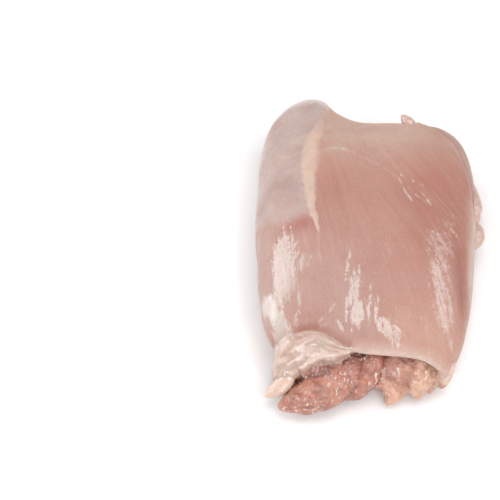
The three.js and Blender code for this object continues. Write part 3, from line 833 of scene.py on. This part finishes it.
# ---- colours of the smooth side ----
def silver_share(p):
    """How much silverskin covers the meat: all of it left of the seam, down to a soft curved edge."""
    x, y = p[..., 0], p[..., 1]
    far, side, _, _ = near_line(p, seam_line)
    soft = 1.2 + 2.2 * ramp(y, 28, 40)
    left = ramp(side * far, soft, -soft) * ramp(x, -7, -15)
    above_foot = y + 5 - 0.035 * (x + 27) ** 2 + 1.5 * grain(p, 6, 1.1)
    far_left = ramp(x, -31, -35) * ramp(y, -46, -36)
    return left * np.maximum(ramp(above_foot, -4, 4), 0.35 * far_left)


def shoulder_highlight(tone, p):
    """Painted light on the wet ridge at the front left: a pale sheen, and a white highlight with a ragged
    outline.
    """
    top = share_in(p, z=TOP)
    tone = blend(tone, FASCIA, 0.3 * top * patch(p, -31.5, -39, 3.6, 8, 22))
    far, _, _, _ = near_line(p, SHOULDER)
    ragged = far + rough(p, SHOULDER_RAGS)
    return blend(tone, HIGHLIGHT_WHITE, 0.8 * top * ramp(ragged, 2.9, 1.6))


def edge_tones(tone, p):
    """The pale strip down the right side, with an irregular foot."""
    x, y, z = p.T
    foot = ramp(z + 3 * grain(p, 7, 3.9), 4, 12)
    return blend(tone, EDGE_PALE, 0.9 * foot * ramp(x, 28, 30) * ramp(y, 30, 14) * ramp(z, 21, 15))


def overlap_tones(tone, p):
    """The lower layer behind the overlapping one, with a shadow under the upper layer's edge."""
    beyond = side_beyond(p)
    along = ramp(p[..., 1], *OVERLAP_ENDS)
    tone = blend(tone, MEAT_BEHIND, ramp(beyond, -0.1, 0.6) * along * share_in(p, z=TOP))
    return blend(tone, MEAT_SHADE, 0.95 * bell(beyond - 0.9, 0.6) * along)


def thread_tones(tone, p):
    """The seam of fat, the sinews and the short bright glints."""
    top = share_in(p, z=TOP)
    far, _, along, half_width = near_line(p, seam_line)
    seam = ramp((far + 0.7 * grain(p, 2.4, 2.2)) / half_width, *SEAM_PAINT)
    faint_end = 0.35 + 0.65 * ramp(along, 0, 0.2)
    tone = blend(tone, SEAM_FAT, 0.9 * seam * top * faint_end)
    tone = blend(tone, FASCIA, 0.8 * sinew_share(p) * top)
    broken = np.clip(0.75 + 0.9 * grain(p, 1.2, 4.4), 0, 1)
    for line in GLINTS:
        far, _, _, _ = near_line(p, line)
        tone = blend(tone, GLINT, broken * bell(far, GLINT_HALF_WIDTH) * top)
    return tone


def smooth_tones(p):
    """Colour of the smooth side at its points, painted in layers."""
    tone = tinted(np.broadcast_to(colour(MEAT), p.shape), p, MEAT_TINTS)
    tone = tinted(tone, p, SILVER_TINTS, silver_share(p))
    tone = shoulder_highlight(tone, p)
    tone = blend(tone, RED_SPOT, patch(p, -23.4, -6.4, 5.4, 3))
    tone = edge_tones(tone, p)
    tone = overlap_tones(tone, p)
    return thread_tones(tone, p)


def flap_tones(tone, p, under_flap, fat, above_crease):
    """The flap's fat with its shine, and the shaded meat in the crease above it."""
    shaded = under_flap * ramp(above_crease, -2, 1) * ramp(above_crease, 9, 3) * (1 - fat)
    tone = blend(tone, MEAT_SHADE, 0.6 * shaded)
    tone = tinted(tone, p, FLAP_TINTS, fat)
    # painted highlights: patches of shine on the fat
    return blend(tone, GLINT, 0.6 * fat * ramp(rough(p, FLAP_SHINE), 0.22, 0.42))


def lip_tones(tone, p, degrees, under_flap, row):
    """The pale lip along the open ends with painted highlights along its rims, and the meat on the wall
    behind it.
    """
    _, y, z = p.T
    front_far = y - front_at(degrees)
    back_far = back_at(degrees) - y
    bare = 1 - under_flap
    lip = np.maximum(ramp(front_far, 4.5, 0.5) * bare, 0.8 * ramp(back_far, 3, 0))
    tone = blend(tone, LIP_PALE, 0.85 * lip * ramp(z, 2, 8))
    # painted highlights: bright lines along the front rim and along the silverskin's back rim
    tone = blend(tone, HIGHLIGHT_WHITE, 0.45 * ramp(front_far, 1.4, 0.2) * bare * ramp(z, 4, 10))
    tone = blend(tone, HIGHLIGHT_WHITE, 0.8 * ramp(back_far, 3.5, 0.5) * silver_share(p) * ramp(z, 8, 14))
    front_wall = ramp(row, 1 - RIM_STEPS, -1 - RIM_STEPS)
    back_wall = ramp(row - FLAP_ROWS - ROWS, RIM_STEPS - 2, RIM_STEPS + 1)
    return blend(tone, WALL_MEAT, front_wall + back_wall)


def wet_share(p, fat):
    """How wet the surface is: in patches where the light glances off, and all over the fat."""
    wet = np.zeros(len(p))
    for *spot, wetness in WET_PATCHES:
        here = patch(p, *spot)
        wet = np.maximum(wet, wetness * (0.45 * ramp(here, 0.05, 0.6) + 0.55 * here ** 0.7))
    return np.maximum(wet * ramp(p[:, 2], 4, 10), fat)


def fibre_run(p):
    """Coordinates that the fibres follow: across them, along them and in depth."""
    x, y, z = p.T
    steps = np.linspace(-70, 70, 561)
    travelled = np.cumsum(lean_at(steps)) * (steps[1] - steps[0])
    across = x + np.interp(y, steps, travelled) * (0.25 + 0.75 * ramp(x, -22, 8))
    return np.stack([across, y * FIBRE_ALONG, z * FIBRE_DEPTH], -1)


def make_smooth_side(material):
    """The folded sheet of meat with its flap of fat; it stands in for the whole plain solid."""
    rings, first_outer = smooth_side()
    p, faces = shell(rings)
    piece = new_piece("smooth_side", p, faces, material)
    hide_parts("thigh_fillet")
    number = np.arange(len(p))
    row = np.minimum(number // COLUMNS, len(rings) - 1) - first_outer
    degrees = (spaced_angles(COLUMNS) % 360)[number % COLUMNS]
    share = (degrees - FLAP_START) / (FLAP_END - FLAP_START)
    under_flap = ramp(share, -0.02, 0.03) * ramp(1 - share, -0.02, 0.05)
    reach = 1 + 2 * ramp(share, 0.45, 0.1)
    above_crease = row - FLAP_ROWS
    fat = under_flap * ramp(above_crease, reach, reach - 4)
    tone = flap_tones(smooth_tones(p), p, under_flap, fat, above_crease)
    tone = lip_tones(tone, p, degrees, under_flap, row)
    far, _, _, half_width = near_line(p, seam_line)
    seam = ramp(far / half_width, *SEAM_FATTY) * share_in(p, z=TOP)
    set_values(piece, tone=tone, fibre=fibre_run(p), fat=np.maximum(fat, seam), wet=wet_share(p, fat))
    set_values(piece, silver=silver_share(p), soft=ramp(p[:, 0], 8, 13))


# ---- materials ----
class Surface:
    """A material with one Principled shader, and short ways to feed it."""

    def __init__(self, name, **uniform):
        self.material = bpy.data.materials.new(name)
        self.material.use_nodes = True
        self.tree = self.material.node_tree
        self.shader = self.tree.nodes["Principled BSDF"]
        for socket, value in uniform.items():
            self.shader.inputs[socket.replace("_", " ")].default_value = value

    def put(self, socket, value):
        """Links an output to a socket, or sets the socket to a plain value."""
        if isinstance(value, bpy.types.NodeSocket):
            self.tree.links.new(value, socket)
        elif value is not None:
            socket.default_value = value

    def feed(self, name, value):
        """Feeds one input of the shader."""
        self.put(self.shader.inputs[name], value)

    def node(self, kind, *values, output=0, **settings):
        """Output of a new node whose inputs take the values in order; None leaves one as it is."""
        made = self.tree.nodes.new("ShaderNode" + kind)
        for key, value in settings.items():
            setattr(made, key, value)
        for socket, value in zip(made.inputs, values):
            self.put(socket, value)
        return made.outputs[output]

    def math(self, operation, *values):
        """Output of a math node."""
        return self.node("Math", *values, operation=operation)

    def product(self, *values):
        """All the values multiplied together."""
        total = values[0]
        for value in values[1:]:
            total = self.math("MULTIPLY", total, value)
        return total

    def swing(self, value, strength, base):
        """base moved up and down by a pattern around one half."""
        return self.math("MULTIPLY_ADD", self.math("SUBTRACT", value, 0.5), strength, base)

    def attribute(self, name, output="Fac"):
        """A value stored for each vertex."""
        return self.node("Attribute", output=output, attribute_name=name)

    def noise(self, vector, scale, detail=2, roughness=0.5):
        """Cloudy noise from 0 to 1, with features 1 / scale millimetres in size."""
        return self.node("TexNoise", vector, None, scale, detail, roughness)

    def step(self, value, low, high, to_low=0.0, to_high=1.0):
        """to_low below low, to_high above high and smooth between."""
        limits = (low, high, to_low, to_high)
        return self.node("MapRange", value, *limits, interpolation_type="SMOOTHSTEP")

    def mix(self, share, a, b, blend_type="MIX"):
        """Colour a turned towards colour b by a share."""
        made = self.tree.nodes.new("ShaderNodeMix")
        made.data_type = "RGBA"
        made.blend_type = blend_type
        self.put(made.inputs["Factor"], share)
        self.put(made.inputs["A"], a)
        self.put(made.inputs["B"], b)
        return made.outputs["Result"]

    def bump(self, height, distance, below=None):
        """Normals of a height from 0 to 1 that stands for a distance in millimetres."""
        made = self.tree.nodes.new("ShaderNodeBump")
        made.inputs["Distance"].default_value = distance * MM
        self.put(made.inputs["Height"], height)
        if below is not None:
            self.tree.links.new(below, made.inputs["Normal"])
        return made.outputs["Normal"]

    def place(self):
        """Coordinates in millimetres, fixed to the object."""
        spot = self.node("TexCoord", output="Object")
        return self.node("VectorMath", spot, None, None, 1 / MM, operation="SCALE")


def rgba(rgb):
    """A picture's colour for a colour socket."""
    return (*colour(rgb), 1.0)


def fibre_lines(s, fibre, waver):
    """Fine parallel lines along the fibres, from 0 to 1, bent by a waver."""
    across = s.node("SeparateXYZ", fibre)
    phase = s.math("MULTIPLY_ADD", across, 2 * math.pi / FIBRE_SPACING, s.product(waver, FIBRE_BEND))
    return s.math("MULTIPLY_ADD", s.math("SINE", phase), 0.5, 0.5)


def meat_tone(s, tone, place, fibre, waver, lines, mottle, bare, silver):
    """The smooth meat's stored tone with mottle, speckle, fibres and the silverskin's web."""
    tone = s.mix(s.step(mottle, 0.42, 0.7, 0, 0.22), tone, rgba(MEAT_DEEP))
    speckle = s.step(s.noise(place, 1.6, detail=3, roughness=0.7), 0.35, 0.65, 0, 0.25)
    tone = s.mix(s.product(speckle, bare), tone, rgba(MEAT_DEEP))
    more_at_back = s.step(s.node("SeparateXYZ", place, output=1), -20, 8, 0.8, 1.5)
    shown = s.product(s.step(waver, 0.38, 0.65, 0, 0.16), more_at_back)
    fine = s.product(s.math("POWER", lines, 2), shown)
    coarse = s.step(s.noise(fibre, 0.9, detail=3, roughness=0.65), 0.55, 0.75, 0, 0.2)
    tone = s.mix(s.product(s.math("ADD", fine, coarse), bare), tone, rgba(FASCIA))
    web = s.step(s.noise(place, 0.45, detail=4, roughness=0.7), 0.5, 0.8, 0, 0.35)
    return s.mix(s.product(web, silver), tone, rgba(FASCIA))


def wet_film(s, place, crinkle, ridges, wet, soft):
    """Where the film of juice mirrors the light: ragged patches, and softer ones on the right side."""
    teeth = s.noise(place, 2.2)
    wetness = s.swing(crinkle, 1.7, wet)
    wetness = s.swing(ridges, 2.0, wetness)
    wetness = s.swing(teeth, 1.5, wetness)
    return s.mix(soft, s.step(wetness, 0.54, 0.64), s.step(wetness, 0.25, 1.1, 0, 0.9))


def smooth_material():
    """Smooth meat: fibres, silverskin and fat, with a wet film in patches that also turns the colour cream as
    a painted highlight.
    """
    s = Surface("smooth_side_meat", **FLESH)
    place = s.place()
    fibre = s.attribute("fibre", "Vector")
    fat, wet, silver, soft = (s.attribute(name) for name in ("fat", "wet", "silver", "soft"))
    bare = s.math("SUBTRACT", 1, s.math("MAXIMUM", fat, s.product(silver, 0.8)))
    mottle = s.noise(place, 0.16, **FINE)
    waver = s.noise(fibre, 0.5, **FINE)
    lines = fibre_lines(s, fibre, waver)
    wrinkled = s.node("Mapping", place, None, None, (0.9, 0.5, 0.8))
    crinkle = s.noise(wrinkled, 1.0, detail=4, roughness=0.65)
    ridges = s.noise(fibre, 1.1, **FINE)

    tone = s.attribute("tone", "Color")
    tone = meat_tone(s, tone, place, fibre, waver, lines, mottle, bare, silver)
    film = wet_film(s, place, crinkle, ridges, wet, soft)
    # painted highlight: the colour turns cream where the wet film mirrors the lights
    off_fat = s.math("SUBTRACT", 1, s.product(fat, 0.9))
    s.feed("Base Color", s.mix(s.product(film, 0.36, off_fat), tone, rgba(HIGHLIGHT_CREAM)))
    s.feed("Coat Weight", film)
    s.feed("Roughness", s.math("MULTIPLY_ADD", silver, -0.14, s.step(mottle, 0.3, 0.7, 0.38, 0.5)))

    normal = s.bump(s.product(s.noise(place, 3.0, **FINE), bare), 0.06)
    normal = s.bump(s.product(lines, bare), 0.02, normal)
    s.feed("Normal", s.bump(s.noise(place, 0.9), 0.15, normal))
    s.feed("Coat Normal", s.bump(ridges, 0.12, s.bump(crinkle, 0.25)))
    return s.material


def stained(s, tone, share):
    """A tone turned by a share towards itself with a dark orange stain."""
    return s.mix(share, tone, s.mix(0.6, tone, rgba(INNER_STAIN), "MULTIPLY"))


def inner_material():
    """Inner meat: stained and pale patches, small painted white glints and a wet film."""
    s = Surface("inner_meat", **FLESH)
    place = s.place()
    tone = s.attribute("tone", "Color")
    patches = s.noise(place, 0.24, **FINE)
    tone = stained(s, tone, s.step(patches, 0.46, 0.62, 0, 0.75))
    tone = s.mix(s.step(patches, 0.46, 0.34, 0, 0.4), tone, rgba(INNER_PALE))
    mottle = s.noise(place, 0.5, **FINE)
    tone = stained(s, tone, s.step(mottle, 0.4, 0.7, 0, 0.28))
    # painted highlights: small white glints, gathered in clusters
    glint_clusters = s.step(s.noise(place, 0.2), 0.45, 0.55)
    slanted = s.node("Mapping", place, None, (0, 0, 0.7), (1.3, 0.6, 1))
    painted_glints = s.step(s.noise(slanted, 0.8, detail=4, roughness=0.7), 0.57, 0.61)
    s.feed("Base Color", s.mix(s.product(painted_glints, glint_clusters, 0.9), tone, rgba(GLINT)))
    s.feed("Coat Weight", s.step(s.noise(place, 0.5), 0.36, 0.56, 0.25, 0.95))
    s.feed("Normal", s.bump(s.noise(place, 1.6, detail=3), 0.18))
    s.feed("Coat Normal", s.bump(s.noise(place, 0.7), 1.6))
    return s.material


def fat_material(name, light, dark):
    """Loose fat or pale meat, mottled between two colours."""
    s = Surface(name, **FLESH)
    place = s.place()
    mottle = s.noise(place, 0.6, **FINE)
    s.feed("Base Color", s.mix(s.step(mottle, 0.35, 0.7, 0, 0.6), rgba(light), rgba(dark)))
    s.feed("Coat Weight", s.step(s.noise(place, 0.8), 0.4, 0.55, 0.2, 1))
    s.feed("Normal", s.bump(s.noise(place, 1.3, **FINE), 0.25))
    s.feed("Coat Normal", s.bump(s.noise(place, 0.8), 0.5))
    return s.material


def floor_material():
    """A pale floor that is very slightly uneven in tone."""
    s = Surface("floor", Roughness=0.7)
    tint = s.step(s.noise(s.place(), 0.02), 0.3, 0.7)
    s.feed("Base Color", s.mix(tint, *((grey, grey, grey, 1) for grey in FLOOR_GREYS)))
    return s.material


# ---- camera, light and floor ----
def aim(obj, target):
    """Turns a camera or a light towards a point."""
    direction = Vector(target) - obj.location
    obj.rotation_euler = direction.to_track_quat("-Z", "Y").to_euler()


def make_camera():
    """A camera with a long lens that looks down at the front end."""
    data = bpy.data.cameras.new("camera")
    data.lens = LENS
    data.sensor_width = SENSOR_WIDTH
    data.clip_start = NEAREST * MM
    camera = in_scene("camera", data)
    down = math.radians(VIEW_HEIGHT)
    back = np.array([0, -math.cos(down), math.sin(down)])
    camera.location = (VIEW_TARGET - MIDDLE + back * VIEW_DISTANCE) * MM
    aim(camera, (VIEW_TARGET - MIDDLE) * MM)
    bpy.context.scene.camera = camera


def light_side(degrees):
    """Length in metres of a light's side that fills some degrees as seen from the fillet."""
    return 2 * LIGHT_DISTANCE * math.tan(math.radians(degrees / 2)) * MM


def make_lights():
    """Softboxes all round, and an even white sky."""
    for compass, height, wide, high, radiance in LIGHTS:
        data = bpy.data.lights.new("softbox", "AREA")
        data.shape = "RECTANGLE"
        data.size, data.size_y = light_side(wide), light_side(high)
        data.energy = radiance * math.pi * data.size * data.size_y
        light = in_scene("softbox", data)
        a, e = math.radians(compass), math.radians(height)
        way = np.array([math.sin(a) * math.cos(e), math.cos(a) * math.cos(e), math.sin(e)])
        light.location = way * LIGHT_DISTANCE * MM
        aim(light, (0, 0, 0))
    world = bpy.data.worlds.new("sky")
    bpy.context.scene.world = world
    world.use_nodes = True
    sky = world.node_tree.nodes["Background"].inputs
    sky["Color"].default_value = (1, 1, 1, 1)
    sky["Strength"].default_value = SKY


def make_floor():
    """A wide square floor at the height of the frame's origin."""
    half = FLOOR_HALF * MM
    corners = [(-half, -half, 0), (half, -half, 0), (half, half, 0), (-half, half, 0)]
    mesh = bpy.data.meshes.new("floor")
    mesh.from_pydata(corners, [], [(0, 1, 2, 3)])
    mesh.materials.append(floor_material())
    floor = in_scene("floor", mesh)


# ---- the fillet ----
make_camera()
make_smooth_side(smooth_material())
inner = inner_material()
make_folds("front_folds", FRONT_FOLDS, inner)
make_folds("back_folds", BACK_FOLDS, inner)
make_lobes("loose_fat", [FINGER, TAG], fat_material("fat", FINGER_FAT, FINGER_DEEP), FAT_BUMPINESS)
make_lobes("nubs", [*NUBS, STRIP], fat_material("edge_meat", NUB_PALE, NUB_PINK), NUB_BUMPINESS)
make_lights()
make_floor()
bpy.context.scene.view_settings.view_transform = "Standard"
